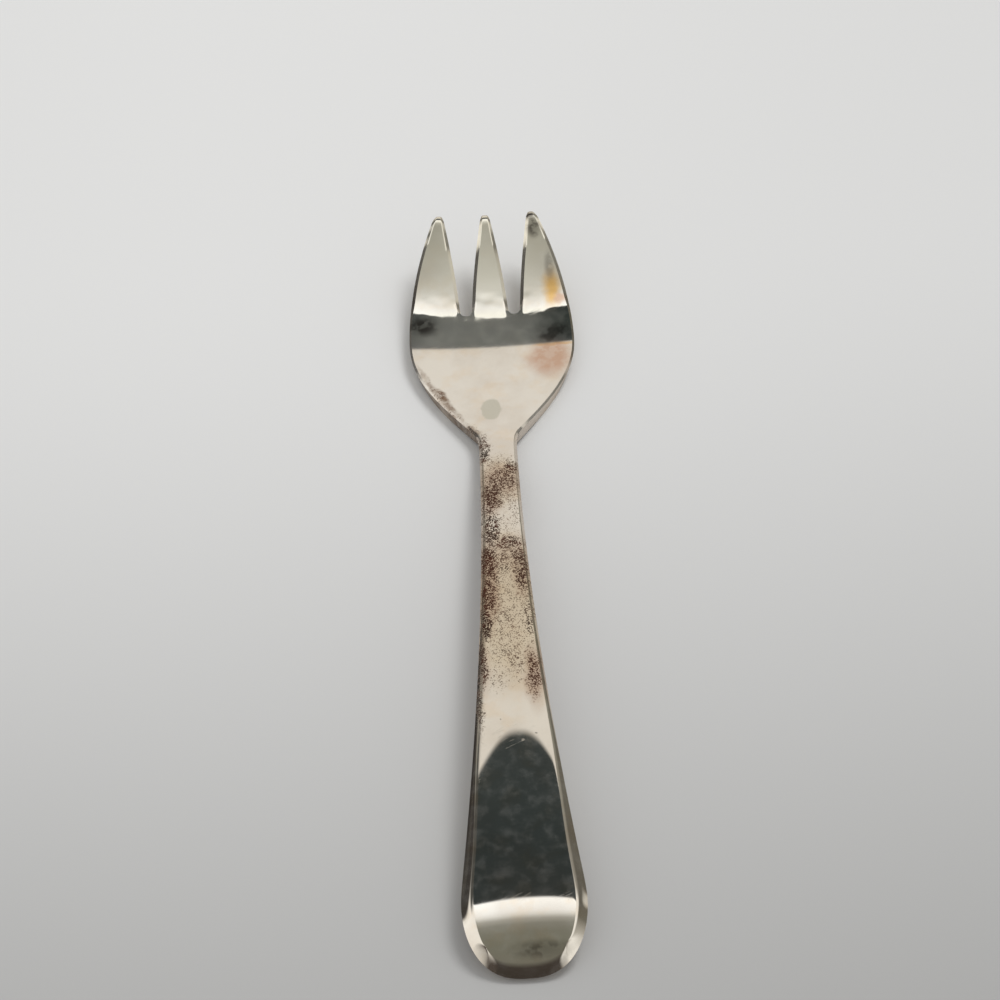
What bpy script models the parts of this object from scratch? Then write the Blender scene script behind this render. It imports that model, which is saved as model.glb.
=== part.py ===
"""A child's table fork with three tines, made from one blank of silver-coloured metal.

Units are metres and +Z is up. The fork lies as on a table: tines towards +Y, handle towards -Y,
its mirror plane on X = 0 and the table at Z = 0, with the origin under the middle of its length.
A place along the fork is its distance from the end of the handle.
"""

import math

import bmesh
import bpy
from mathutils import Matrix, Vector

MM = 0.001

# Lengths along the fork, seen from above
HANDLE_LENGTH = 91.8 * MM  # end of the handle to the neck
BOWL_LENGTH = 19.1 * MM  # neck to the widest place of the head
ROOT_RISE = 5.6 * MM  # widest place to the roots of the slots
TINE_LENGTH = 15.6 * MM  # roots of the slots to the tips
BEND_LENGTH = 1.4 * MM  # roots of the slots to the straighter stretch of the tines
DISH_HOLD = 2.0 * MM  # widest place to where the dish starts to flatten
DISH_FADE = 3.0 * MM  # roots of the slots to where the dish is as flat as at the tips
END_ROUND = 10.2 * MM  # rounded stretch at the end of the handle
TURN_LENGTH = 8.2 * MM  # stretch of the handle that turns down to the table
FLOOR_LENGTH = 13.3 * MM  # neck to the place where the bowl's tighter bend starts

# Widths across the fork
HANDLE_WIDTH = 16.15 * MM
NECK_WIDTH = 5.3 * MM
HEAD_WIDTH = 23.9 * MM
TIP_SPREAD = 14.65 * MM  # over the outer edges of the outer tips
CENTRE_ROOT_WIDTH = 5.3 * MM
CENTRE_TIP_WIDTH = 1.1 * MM
OUTER_TIP_WIDTH = 1.1 * MM
SLOT_ROOT_WIDTH = 1.7 * MM

# Exponents of the outline's curves
END_FULLNESS = 2.45  # end of the handle, where 2 is an ellipse
TAPER = 2.08  # handle to neck
SHOULDER = 1.06  # neck to the widest place
LEAN = 2.1  # widest place to the tips
SPLAY = 1.5  # sides of the slots

# Thickness and the shape of the top
END_THICKNESS = 1.7 * MM
NECK_THICKNESS = 2.4 * MM
BOWL_THICKNESS = 1.6 * MM
TIP_THICKNESS = 1.3 * MM
HANDLE_CROWN = 0.6 * MM  # height of the middle over the edges
NECK_CROWN = 0.45 * MM
CROWN_FULLNESS = 2.5  # exponent of the fall from the middle to the edges
BOWL_DISH = 0.65 * MM  # depth of the middle under the edges
TIP_DISH = 0.3 * MM  # the same on the tines
DISH_FULLNESS = 2.0  # exponent of the rise from the middle to the edges
HANDLE_RIM = 1.1 * MM  # width of the sloping rim
STEM_RIM = 0.35 * MM
BOWL_RIM = 0.3 * MM
TINE_RIM = 0.5 * MM
RIM_START = 12.0 * MM  # place where the handle's rim starts to narrow
RIM_END = 34.0 * MM  # place where it is as narrow as on the stem
HANDLE_RIM_SLOPE = 0.55  # fall of the rim over its width
TINE_RIM_SLOPE = 0.75
TIP_RIM_SLOPE = 0.3
TIP_RIM_LENGTH = 7.0 * MM  # stretch before the tips where the rim flattens
CENTRE_RIM_SHARE = 0.5  # most of the centre tine's half width that the rim takes
OUTER_RIM_SHARE = 0.33  # most of an outer tine's width that the rim takes
BACK_INSET = 0.45 * MM  # how far the underside's edge lies inside the outline
TIP_INSET_SHARE = 0.25  # most of an outer tine's width that this inset takes

# Tilt of the top along the fork, in degrees: positive climbs towards the tips
END_TILT = 38.2
TURN_TILT = 8.7
NECK_TILT = -10.8
FLOOR_TILT = -2.0
ROOT_TILT = 14.3
BEND_TILT = 19.0
TIP_TILT = 22.2

# Wear where the fork lies on the table
REST_DEPTH = 0.12 * MM  # height worn flat off the underside

# Places worked out from the lengths
WIDEST = HANDLE_LENGTH + BOWL_LENGTH
ROOT = WIDEST + ROOT_RISE
TIP = ROOT + TINE_LENGTH

# Rows and columns of the half blank
END_ROWS = 5
HANDLE_ROWS = 11
BOWL_ROWS = 10
TINE_ROWS = 6
ROOT_ROW = END_ROWS + HANDLE_ROWS + BOWL_ROWS  # row on the roots of the slots
TIP_ROW = ROOT_ROW + TINE_ROWS
STEM_SHARES = (0.0, 0.2, 0.34, 0.5, 0.66)  # columns over the stem, as shares of its half width
CENTRE_EDGE = 2  # column on the centre tine's edge
OUTER_INNER_EDGE = 3  # column on the outer tine's inner edge
RIDGE = 5  # column on the ridge inside the rim
EDGE = 6  # column on the outline
END_CORNER = math.radians(45.0)  # where the end's round passes from the end row to the outer column
END_STEP = math.radians(1.0)  # step along the round that gives its direction
SLOPE_STEPS = 200
LAYING_PASSES = 4
MIDDLE_MERGE = 0.01 * MM  # points of the two halves that become one on the mirror plane

SILVER = (0.80, 0.77, 0.71, 1.0)
SILVER_ROUGHNESS = 0.22


def ease(share):
    """Smooth step from 0 to 1."""
    share = min(max(share, 0.0), 1.0)
    return share * share * (3.0 - 2.0 * share)


def blend(place, stations):
    """Value at a place, eased between (place, value) stations."""
    for (start, first), (end, last) in zip(stations, stations[1:]):
        if place <= end:
            return first + (last - first) * ease((place - start) / (end - start))
    return stations[-1][1]


def tilt(place):
    """Angle of the top along the fork: arcs that meet with one tangent."""
    stations = (
        (0.0, END_TILT),
        (TURN_LENGTH, TURN_TILT),
        (HANDLE_LENGTH, NECK_TILT),
        (HANDLE_LENGTH + FLOOR_LENGTH, FLOOR_TILT),
        (ROOT, ROOT_TILT),
        (ROOT + BEND_LENGTH, BEND_TILT),
        (TIP, TIP_TILT),
    )
    for (start, first), (end, last) in zip(stations, stations[1:]):
        if place <= end:
            return math.radians(first + (last - first) * (place - start) / (end - start))
    return math.radians(TIP_TILT)


def height(place):
    """Height of the top's middle line over the end of the handle."""
    step = place / SLOPE_STEPS
    return sum(math.tan(tilt((i + 0.5) * step)) * step for i in range(SLOPE_STEPS))


def thickness(place):
    return blend(
        place,
        (
            (0.0, END_THICKNESS),
            (HANDLE_LENGTH, NECK_THICKNESS),
            (WIDEST, BOWL_THICKNESS),
            (TIP, TIP_THICKNESS),
        ),
    )


def crown(place):
    """Height of the middle over the edges, negative where the bowl is dished."""
    return blend(
        place,
        (
            (TURN_LENGTH, HANDLE_CROWN),
            (HANDLE_LENGTH, NECK_CROWN),
            (WIDEST, -BOWL_DISH),
            (WIDEST + DISH_HOLD, -BOWL_DISH),
            (ROOT + DISH_FADE, -TIP_DISH),
        ),
    )


def fall(place, share):
    """Drop of the top under its middle line, at a share of the half width."""
    top = crown(place)
    return top * abs(share) ** (CROWN_FULLNESS if top > 0.0 else DISH_FULLNESS)


def rim(place):
    """Width of the sloping rim."""
    return blend(
        place,
        (
            (RIM_START, HANDLE_RIM),
            (RIM_END, STEM_RIM),
            (HANDLE_LENGTH, BOWL_RIM),
            (ROOT, BOWL_RIM),
            (ROOT + SLOT_ROOT_WIDTH, TINE_RIM),
            (TIP, TINE_RIM),
        ),
    )


def rim_fall(place):
    """Height that the rim loses over its width."""
    slope = blend(
        place,
        (
            (RIM_END, HANDLE_RIM_SLOPE),
            (HANDLE_LENGTH, TINE_RIM_SLOPE),
            (TIP - TIP_RIM_LENGTH, TINE_RIM_SLOPE),
            (TIP, TIP_RIM_SLOPE),
        ),
    )
    return rim(place) * slope


def half_width(place):
    """Half the width of the outline from the end's round to the tips."""
    if place <= HANDLE_LENGTH:
        left = (HANDLE_LENGTH - place) / (HANDLE_LENGTH - END_ROUND)
        return (NECK_WIDTH + (HANDLE_WIDTH - NECK_WIDTH) * left**TAPER) / 2
    if place <= WIDEST:
        run = (place - HANDLE_LENGTH) / BOWL_LENGTH
        return (NECK_WIDTH + (HEAD_WIDTH - NECK_WIDTH) * math.sin(math.pi / 2 * run**SHOULDER)) / 2
    run = (place - WIDEST) / (TIP - WIDEST)
    return (HEAD_WIDTH - (HEAD_WIDTH - TIP_SPREAD) * run**LEAN) / 2


def slot_sides(place):
    """Distances of a slot's two sides from the middle line, held below the root."""
    run = max(place - ROOT, 0.0) / TINE_LENGTH
    inner_root = CENTRE_ROOT_WIDTH / 2
    outer_root = inner_root + SLOT_ROOT_WIDTH
    inner = inner_root + (CENTRE_TIP_WIDTH / 2 - inner_root) * run**SPLAY
    outer = outer_root + (TIP_SPREAD / 2 - OUTER_TIP_WIDTH - outer_root) * run**SPLAY
    return inner, outer


def back_inset(place):
    """How far the underside's edge lies inside the outline, less on the narrow tips."""
    if place <= ROOT:
        return BACK_INSET
    return min(BACK_INSET, TIP_INSET_SHARE * (half_width(place) - slot_sides(place)[1]))


def columns(place):
    """Distances of a row's seven points from the middle line."""
    edge = half_width(place)
    ridge = edge - rim(place)
    stem = [share * edge for share in STEM_SHARES]
    inner, outer = slot_sides(place)
    centre_rim = min(rim(place), CENTRE_RIM_SHARE * inner)
    outer_rim = min(rim(place), OUTER_RIM_SHARE * (edge - outer))
    head = [0.0, inner - centre_rim, inner, outer, outer + outer_rim]
    if place > ROOT:
        ridge = edge - outer_rim
    share = ease((place - HANDLE_LENGTH) / (ROOT - HANDLE_LENGTH))
    inside = [low + (high - low) * share for low, high in zip(stem, head)]
    return inside + [ridge, edge]


def round_point(angle):
    """Point of the end's round at an angle from its middle, negative on the other half."""
    out = math.copysign(abs(math.sin(angle)) ** (2.0 / END_FULLNESS), angle)
    back = max(math.cos(angle), 0.0) ** (2.0 / END_FULLNESS)
    return Vector((HANDLE_WIDTH / 2 * out, END_ROUND * (1.0 - back)))


def ridge_point(angle):
    """Point of the ridge, one rim's width inside the end's round."""
    along = round_point(min(angle + END_STEP, math.pi / 2)) - round_point(angle - END_STEP)
    inward = Vector((-along.y, along.x)).normalized()
    return round_point(angle) + HANDLE_RIM * inward


def end_point(column, row):
    """Plan point of the rounded end: its round, or the patch inside the ridge."""
    spaced = columns(END_ROUND)
    side_turn = math.pi / 2 - END_CORNER
    if row == 0:
        return round_point(END_CORNER * spaced[column] / spaced[EDGE])
    if column == EDGE:
        return round_point(END_CORNER + side_turn * row / END_ROWS)
    across = spaced[column] / spaced[RIDGE]
    along = (row - 1) / (END_ROWS - 1)
    corner = ridge_point(END_CORNER)
    end = ridge_point(END_CORNER * across)
    side = ridge_point(END_CORNER + side_turn * along)
    straight = Vector((spaced[column], END_ROUND))
    widest = Vector((spaced[RIDGE], END_ROUND))
    first = Vector((0.0, HANDLE_RIM))
    last = Vector((0.0, END_ROUND))
    ruled = end.lerp(straight, along) + first.lerp(last, along).lerp(side, across)
    return ruled - first.lerp(corner, across).lerp(last.lerp(widest, across), along)


def straight_place(row):
    """Place of a row that crosses the fork square, from the end's round to the tips."""
    if row <= END_ROWS + HANDLE_ROWS:
        return END_ROUND + (HANDLE_LENGTH - END_ROUND) * (row - END_ROWS) / HANDLE_ROWS
    if row <= ROOT_ROW:
        return ROOT - (ROOT - HANDLE_LENGTH) * (ROOT_ROW - row) / BOWL_ROWS
    return TIP - TINE_LENGTH * (TIP_ROW - row) / TINE_ROWS


def plan_point(column, row):
    """A point's distance from the middle line, its place along the fork and the half width there."""
    if row < END_ROWS:
        across, place = end_point(column, row)
        return across, place, HANDLE_WIDTH / 2
    place = straight_place(row)
    return columns(place)[column], place, half_width(place)


def back_point(column, row):
    """Point on the underside, which is dished with the bowl but flat across the stem and handle."""
    across, place, edge = plan_point(column, row)
    middle = height(place) - min(fall(place, across / edge), 0.0)
    metal = thickness(place)
    inset = back_inset(place)
    if column >= RIDGE:
        across -= inset
    start = place + inset if row == 0 else place
    return across, start + metal * math.sin(tilt(place)), middle - metal * math.cos(tilt(place))


def top_point(column, row):
    """Point on the top, which falls away to the outline and to the sides of the slots."""
    across, place, edge = plan_point(column, row)
    beside_slot = row >= ROOT_ROW and column in (CENTRE_EDGE, OUTER_INNER_EDGE)
    outside = row == 0 or column == EDGE or beside_slot
    top = height(place) - fall(place, across / edge)
    return across, place, top - (rim_fall(place) if outside else 0.0)


def between_tines(face, steps):
    """Whether a face of the grid lies in a slot."""
    columns_met = {point[steps[0]] for point in face.verts}
    first_row = min(point[steps[1]] for point in face.verts)
    return columns_met == {CENTRE_EDGE, OUTER_INNER_EDGE} and first_row >= ROOT_ROW


def half_blank():
    """The fork's +X half, open on the mirror plane: an underside drawn up to the top."""
    blank = bmesh.new()
    bmesh.ops.create_grid(blank, x_segments=EDGE, y_segments=TIP_ROW, size=0.5)
    steps = blank.verts.layers.int.new("column"), blank.verts.layers.int.new("row")
    for point in blank.verts:
        point[steps[0]] = round((point.co.x + 0.5) * EDGE)
        point[steps[1]] = round((point.co.y + 0.5) * TIP_ROW)
    slot = [face for face in blank.faces if between_tines(face, steps)]
    bmesh.ops.delete(blank, geom=slot, context="FACES")
    drawn = bmesh.ops.extrude_face_region(blank, geom=blank.faces[:])
    upper = {item for item in drawn["geom"] if isinstance(item, bmesh.types.BMVert)}
    for point in blank.verts:
        surface = top_point if point in upper else back_point
        point.co = surface(point[steps[0]], point[steps[1]])
    inside = [face for face in blank.faces if all(point[steps[0]] == 0 for point in face.verts)]
    bmesh.ops.delete(blank, geom=inside, context="FACES")
    bmesh.ops.recalc_face_normals(blank, faces=blank.faces)
    mesh = bpy.data.meshes.new("fork")
    blank.to_mesh(mesh)
    blank.free()
    return mesh


def evaluated_points(fork):
    """The fork's points in the world, with its modifiers applied."""
    bpy.context.view_layer.update()
    shaped = fork.evaluated_get(bpy.context.evaluated_depsgraph_get())
    mesh = shaped.to_mesh()
    points = [shaped.matrix_world @ point.co for point in mesh.vertices]
    shaped.to_mesh_clear()
    return points


def lay_down(fork):
    """Turns and lowers the fork until the handle's end and the bowl both reach just under the table."""
    for _ in range(LAYING_PASSES):
        points = evaluated_points(fork)
        middle = sum(point.y for point in points) / len(points)
        heel = min((point for point in points if point.y < middle), key=lambda point: point.z)
        bowl = min((point for point in points if point.y >= middle), key=lambda point: point.z)
        fork.rotation_euler.x -= math.atan2(bowl.z - heel.z, bowl.y - heel.y)
    points = evaluated_points(fork)
    along = [point.y for point in points]
    fork.location.y -= (min(along) + max(along)) / 2
    fork.location.z -= min(point.z for point in points) + REST_DEPTH


def silver():
    material = bpy.data.materials.new("silver")
    material.use_nodes = True
    shader = material.node_tree.nodes["Principled BSDF"]
    shader.inputs["Base Color"].default_value = SILVER
    shader.inputs["Metallic"].default_value = 1.0
    shader.inputs["Roughness"].default_value = SILVER_ROUGHNESS
    return material


def make_fork(collection):
    mesh = half_blank()
    mesh.materials.append(silver())
    fork = bpy.data.objects.new("fork", mesh)
    collection.objects.link(fork)
    mirror = fork.modifiers.new("other half", "MIRROR")
    mirror.merge_threshold = MIDDLE_MERGE
    soft = fork.modifiers.new("rounding", "SUBSURF")
    soft.levels = 1
    soft.render_levels = 1
    mesh.shade_smooth()
    return fork


def make_table(collection):
    """Block whose top is the table's surface, which wears the fork's underside flat."""
    mesh = bpy.data.meshes.new("table")
    block = bmesh.new()
    bmesh.ops.create_cube(block, size=1.0)
    reach = Matrix.Diagonal((2 * TIP, 2 * TIP, HEAD_WIDTH, 1.0))
    below = Matrix.Translation((0.0, 0.0, -HEAD_WIDTH / 2))
    bmesh.ops.transform(block, matrix=below @ reach, verts=block.verts)
    block.to_mesh(mesh)
    block.free()
    table = bpy.data.objects.new("table", mesh)
    table.hide_render = True
    table.display_type = "WIRE"
    collection.objects.link(table)
    return table


def new_collection(name):
    collection = bpy.data.collections.new(name)
    bpy.context.scene.collection.children.link(collection)
    return collection


def main():
    for old in list(bpy.data.objects):
        bpy.data.objects.remove(old)
    fork = make_fork(new_collection("child_fork"))
    lay_down(fork)
    wear = fork.modifiers.new("wear", "BOOLEAN")
    wear.operation = "DIFFERENCE"
    wear.object = make_table(new_collection("cutters"))


main()
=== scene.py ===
"""A child's three-tined table fork in worn silver plate, lying on a pale table.

Units are metres and +Z is up. The tines point along +Y, the mirror plane is X = 0 and the table is Z = 0.
A place along the fork is its distance from the end of the handle.
"""

import logging
import math
from dataclasses import dataclass
from enum import Enum

import bmesh
import bpy
from mathutils import Euler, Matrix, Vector


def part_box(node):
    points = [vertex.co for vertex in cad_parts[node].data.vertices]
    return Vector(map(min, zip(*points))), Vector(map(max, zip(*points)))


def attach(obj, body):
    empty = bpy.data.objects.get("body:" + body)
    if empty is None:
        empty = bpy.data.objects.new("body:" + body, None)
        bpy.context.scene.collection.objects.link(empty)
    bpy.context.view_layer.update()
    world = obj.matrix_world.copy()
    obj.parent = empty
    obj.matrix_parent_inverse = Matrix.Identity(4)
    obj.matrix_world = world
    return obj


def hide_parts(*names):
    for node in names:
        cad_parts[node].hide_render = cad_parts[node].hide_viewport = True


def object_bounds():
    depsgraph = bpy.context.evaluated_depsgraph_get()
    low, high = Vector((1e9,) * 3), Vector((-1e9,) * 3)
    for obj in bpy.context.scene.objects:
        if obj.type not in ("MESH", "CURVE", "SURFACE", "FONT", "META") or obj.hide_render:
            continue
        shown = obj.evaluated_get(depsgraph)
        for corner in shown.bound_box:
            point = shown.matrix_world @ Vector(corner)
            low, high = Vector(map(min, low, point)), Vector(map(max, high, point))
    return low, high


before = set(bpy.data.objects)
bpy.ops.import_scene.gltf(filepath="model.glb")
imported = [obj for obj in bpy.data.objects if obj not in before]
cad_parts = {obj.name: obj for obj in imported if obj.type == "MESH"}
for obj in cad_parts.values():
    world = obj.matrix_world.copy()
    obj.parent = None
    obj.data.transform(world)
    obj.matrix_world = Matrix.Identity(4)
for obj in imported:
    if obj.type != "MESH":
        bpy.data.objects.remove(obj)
CAD_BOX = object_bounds()
LOG = logging.getLogger("child_fork")
MM = 0.001
EDGE = 10  # column on the outline, counted from the mirror plane
RIDGE = EDGE - 1  # column on the ridge inside the rim
Tag = tuple[int, int, int]


class Level(Enum):
    """The two faces of the blank."""

    TOP = 0
    UNDERSIDE = 1


class Tine(Enum):
    """The tines, each with the columns of the blank that it is drawn out from."""

    LEFT = (-EDGE, -5)
    CENTRE = (-3, 3)
    RIGHT = (5, EDGE)


@dataclass(frozen=True)
class ForkShape:
    """Sizes of the fork and its section at each place along it."""

    handle_length: float = 91.8 * MM
    bowl_length: float = 19.1 * MM
    root_rise: float = 5.6 * MM
    tine_length: float = 15.6 * MM
    bend_length: float = 1.4 * MM
    dish_hold: float = 2.0 * MM
    dish_fade: float = 3.0 * MM
    slot_round: float = 0.2 * MM
    end_round: float = 10.2 * MM
    turn_length: float = 8.2 * MM
    floor_length: float = 13.3 * MM

    handle_width: float = 15.75 * MM
    neck_width: float = 5.25 * MM
    head_width: float = 23.8 * MM
    tip_spread: float = 14.65 * MM
    centre_root_width: float = 5.3 * MM
    centre_tip_width: float = 1.1 * MM
    outer_tip_width: float = 1.12 * MM
    slot_root_width: float = 1.7 * MM

    end_fullness: float = 2.55
    taper: float = 2.1
    shoulder: float = 1.08
    lean: float = 2.1
    splay: float = 1.5

    end_thickness: float = 1.7 * MM
    neck_thickness: float = 2.4 * MM
    bowl_thickness: float = 1.6 * MM
    tip_thickness: float = 1.3 * MM
    handle_crown: float = 0.6 * MM
    neck_crown: float = 0.45 * MM
    crown_fullness: float = 2.5
    crown_offset: float = 0.14
    bowl_dish: float = 0.65 * MM
    tip_dish: float = 0.3 * MM
    handle_rim: float = 1.1 * MM
    stem_rim: float = 0.35 * MM
    bowl_rim: float = 0.3 * MM
    tine_rim: float = 0.5 * MM
    rim_start: float = 12.0 * MM
    rim_end: float = 34.0 * MM
    handle_rim_slope: float = 0.55
    tine_rim_slope: float = 0.75
    tip_rim_slope: float = 0.3
    tip_rim_length: float = 7.0 * MM
    back_inset: float = 0.45 * MM

    end_tilt: float = 38.2
    turn_tilt: float = 8.7
    neck_tilt: float = -10.8
    floor_tilt: float = -2.0
    root_tilt: float = 14.3
    bend_tilt: float = 19.0
    tip_tilt: float = 22.2

    @property
    def widest(self) -> float:
        """Place where the head is widest."""
        return self.handle_length + self.bowl_length

    @property
    def root(self) -> float:
        """Place of the slots' roots."""
        return self.widest + self.root_rise

    @property
    def tip(self) -> float:
        """Place of the tips."""
        return self.root + self.tine_length

    @staticmethod
    def ease(share: float) -> float:
        """Smooth step from 0 to 1."""
        share = min(max(share, 0.0), 1.0)
        return share * share * (3.0 - 2.0 * share)

    def eased(self, place: float, stations: list[tuple[float, float]]) -> float:
        """Reads a value that eases from station to station.

        Args:
            place: Distance from the end of the handle.
            stations: Places in order, each with its value.

        Returns:
            The value at the place.
        """
        for (start, first), (end, last) in zip(stations, stations[1:]):
            if place <= end:
                return first + (last - first) * self.ease((place - start) / (end - start))
        return stations[-1][1]

    def tilt(self, place: float) -> float:
        """Reads the angle of the top along the fork, as arcs that meet with one tangent.

        Args:
            place: Distance from the end of the handle.

        Returns:
            The angle in radians, positive where the top climbs towards the tips.
        """
        stations = (
            (0.0, self.end_tilt),
            (self.turn_length, self.turn_tilt),
            (self.handle_length, self.neck_tilt),
            (self.handle_length + self.floor_length, self.floor_tilt),
            (self.root, self.root_tilt),
            (self.root + self.bend_length, self.bend_tilt),
            (self.tip, self.tip_tilt),
        )
        for (start, first), (end, last) in zip(stations, stations[1:]):
            if place <= end:
                return math.radians(first + (last - first) * (place - start) / (end - start))
        return math.radians(self.tip_tilt)

    def rise(self, place: float, steps: int = 200) -> float:
        """Sums the slope to the height of the middle line.

        Args:
            place: Distance from the end of the handle.
            steps: Number of steps of the sum.

        Returns:
            Height over the end of the handle.
        """
        step = place / steps
        return sum(math.tan(self.tilt((i + 0.5) * step)) * step for i in range(steps))

    def metal(self, place: float) -> float:
        """Thickness of the metal in the middle."""
        return self.eased(place, [
            (0.0, self.end_thickness),
            (self.handle_length, self.neck_thickness),
            (self.widest, self.bowl_thickness),
            (self.tip, self.tip_thickness),
        ])

    def crown(self, place: float) -> float:
        """Height of the middle over the edges, negative in the bowl."""
        return self.eased(place, [
            (self.turn_length, self.handle_crown),
            (self.handle_length, self.neck_crown),
            (self.widest, -self.bowl_dish),
            (self.widest + self.dish_hold, -self.bowl_dish),
            (self.root + self.dish_fade, -self.tip_dish),
        ])

    def rim(self, place: float) -> float:
        """Width of the sloping rim."""
        return self.eased(place, [
            (self.rim_start, self.handle_rim),
            (self.rim_end, self.stem_rim),
            (self.handle_length, self.bowl_rim),
            (self.root, self.bowl_rim),
            (self.root + self.slot_root_width, self.tine_rim),
            (self.tip, self.tine_rim),
        ])

    def rim_drop(self, place: float) -> float:
        """Height that the rim loses across its width."""
        slope = self.eased(place, [
            (self.rim_end, self.handle_rim_slope),
            (self.handle_length, self.tine_rim_slope),
            (self.tip - self.tip_rim_length, self.tine_rim_slope),
            (self.tip, self.tip_rim_slope),
        ])
        return self.rim(place) * slope

    def inset(self, place: float) -> float:
        """Reads how far the underside's edge lies inside the outline, less on the narrow tips.

        Args:
            place: Distance from the end of the handle.

        Returns:
            The inset.
        """
        if place <= self.root:
            return self.back_inset
        return min(self.back_inset, (self.half_width(place) - self.slot_sides(place)[1]) / 4)

    def half_width(self, place: float) -> float:
        """Reads half the width of the outline, from the end's round to the tips.

        Args:
            place: Distance from the end of the handle.

        Returns:
            Distance of the outline from the mirror plane.
        """
        if place <= self.handle_length:
            left = (self.handle_length - place) / (self.handle_length - self.end_round)
            return (self.neck_width + (self.handle_width - self.neck_width) * left**self.taper) / 2
        if place <= self.widest:
            run = (place - self.handle_length) / self.bowl_length
            swell = math.sin(math.pi / 2 * run**self.shoulder)
            return (self.neck_width + (self.head_width - self.neck_width) * swell) / 2
        run = (place - self.widest) / (self.tip - self.widest)
        return (self.head_width - (self.head_width - self.tip_spread) * run**self.lean) / 2

    def slot_sides(self, place: float) -> tuple[float, float]:
        """Reads where a slot's two sides are, held below the root.

        Args:
            place: Distance from the end of the handle.

        Returns:
            Distances of the inner and the outer side from the mirror plane.
        """
        run = max(place - self.root, 0.0) / self.tine_length
        inner_root = self.centre_root_width / 2
        outer_root = inner_root + self.slot_root_width
        inner = inner_root + (self.centre_tip_width / 2 - inner_root) * run**self.splay
        outer = outer_root + (self.tip_spread / 2 - self.outer_tip_width - outer_root) * run**self.splay
        return inner, outer

    def across(self, place: float) -> list[float]:
        """Spaces the columns of one half over the width.

        Args:
            place: Distance from the end of the handle.

        Returns:
            Distances of the columns from the mirror plane, from the middle one to the edge.
        """
        edge = self.half_width(place)
        ridge = edge - self.rim(place)
        stem = [ridge * k / RIDGE for k in range(RIDGE)]
        inner, outer = self.slot_sides(place)
        centre_rim = min(self.rim(place), inner / 2)
        outer_rim = min(self.rim(place), (edge - outer) / 3)
        if place > self.root:
            ridge = edge - outer_rim
        inside = outer + outer_rim
        crest = inner - centre_rim
        head = [0.0, crest / 2, crest, inner, (inner + outer) / 2, outer, inside]
        steps = RIDGE - len(head) + 1
        head += [inside + (ridge - inside) * k / steps for k in range(1, steps)]
        share = self.ease((place - self.handle_length) / (self.root - self.handle_length))
        return [low + (high - low) * share for low, high in zip(stem, head)] + [ridge, edge]

    def fall(self, place: float, share: float) -> float:
        """Reads how far the top lies under its crest.

        Args:
            place: Distance from the end of the handle.
            share: Place across the fork, from -1 on the left edge to 1 on the right.

        Returns:
            Drop from the crest, negative on the sides of the bowl.
        """
        crown = self.crown(place)
        if crown <= 0.0:
            return crown * share * share
        offset = self.crown_offset * crown / self.handle_crown
        return crown * abs(share - offset) ** self.crown_fullness


class Bench:
    """Edit-mode bench that picks points by row, column and level and shapes them with operators."""

    def __init__(self, name: str, columns: int) -> None:
        """Lays down a strip one row deep.

        Args:
            name: Name of the piece.
            columns: Columns on each side of the middle one.
        """
        bpy.ops.object.select_all(action="DESELECT")
        bpy.ops.mesh.primitive_grid_add(x_subdivisions=2 * columns, y_subdivisions=1, size=2 * columns)
        self.piece = bpy.context.object
        self.piece.name = name
        self.piece.data.name = name
        bpy.ops.object.mode_set(mode="EDIT")
        bpy.ops.mesh.select_mode(type="VERT")
        self.mesh = bmesh.from_edit_mesh(self.piece.data)
        self.tags = {tag: self.mesh.verts.layers.int.new(tag) for tag in ("level", "row", "column")}
        for point in self.mesh.verts:
            point[self.tags["column"]] = round(point.co.x)
            point[self.tags["row"]] = 0 if point.co.y < 0.0 else 1

    def tag(self, point: bmesh.types.BMVert) -> Tag:
        """Level, row and column of a point."""
        return tuple(point[self.tags[tag]] for tag in ("level", "row", "column"))

    def points(self) -> dict[Tag, bmesh.types.BMVert]:
        """All the points by level, row and column."""
        return {self.tag(point): point for point in self.mesh.verts}

    def pick(self, points: list[bmesh.types.BMVert]) -> None:
        """Selects these points and nothing else.

        Args:
            points: Points to select.
        """
        bpy.ops.mesh.select_all(action="DESELECT")
        for point in points:
            point.select_set(True)
        self.mesh.select_flush(True)

    def retag(self, tag: str, value: int) -> None:
        """Gives the picked points another level or row.

        Args:
            tag: Name of the tag.
            value: Its new value.
        """
        for point in self.mesh.verts:
            if point.select:
                point[self.tags[tag]] = value

    def put(self, point: bmesh.types.BMVert, target: Vector) -> None:
        """Moves one point to its place."""
        self.pick([point])
        bpy.ops.transform.translate(value=target - point.co)

    def grow(self, row: int, columns: tuple[int, int]) -> None:
        """Draws a stretch of one row out to the next.

        Args:
            row: Row that is drawn out.
            columns: First and last column of the stretch.
        """
        points = self.points()
        stretch = range(columns[0], columns[1] + 1)
        self.pick([points[Level.TOP.value, row, column] for column in stretch])
        bpy.ops.mesh.extrude_region_move(TRANSFORM_OT_translate={"value": (0.0, 1.0, 0.0)})
        self.retag("row", row + 1)

    def span(self, edge: bmesh.types.BMEdge) -> list[set[int]]:
        """Levels, rows and columns of an edge's two ends, the columns without their side."""
        return [set(map(abs, tags)) for tags in zip(*map(self.tag, edge.verts))]

    def crease(self, edges: list[int], sharpness: float) -> None:
        """Keeps edges crisp when the piece is rounded.

        Args:
            edges: Edges to keep, by their number in the mesh.
            sharpness: From 0, round, to 1, sharp.
        """
        bpy.ops.mesh.select_mode(type="EDGE")
        bpy.ops.mesh.select_all(action="DESELECT")
        self.mesh.edges.ensure_lookup_table()
        for number in edges:
            self.mesh.edges[number].select_set(True)
        bpy.ops.transform.edge_crease(value=sharpness)
        bpy.ops.mesh.select_mode(type="VERT")


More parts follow.
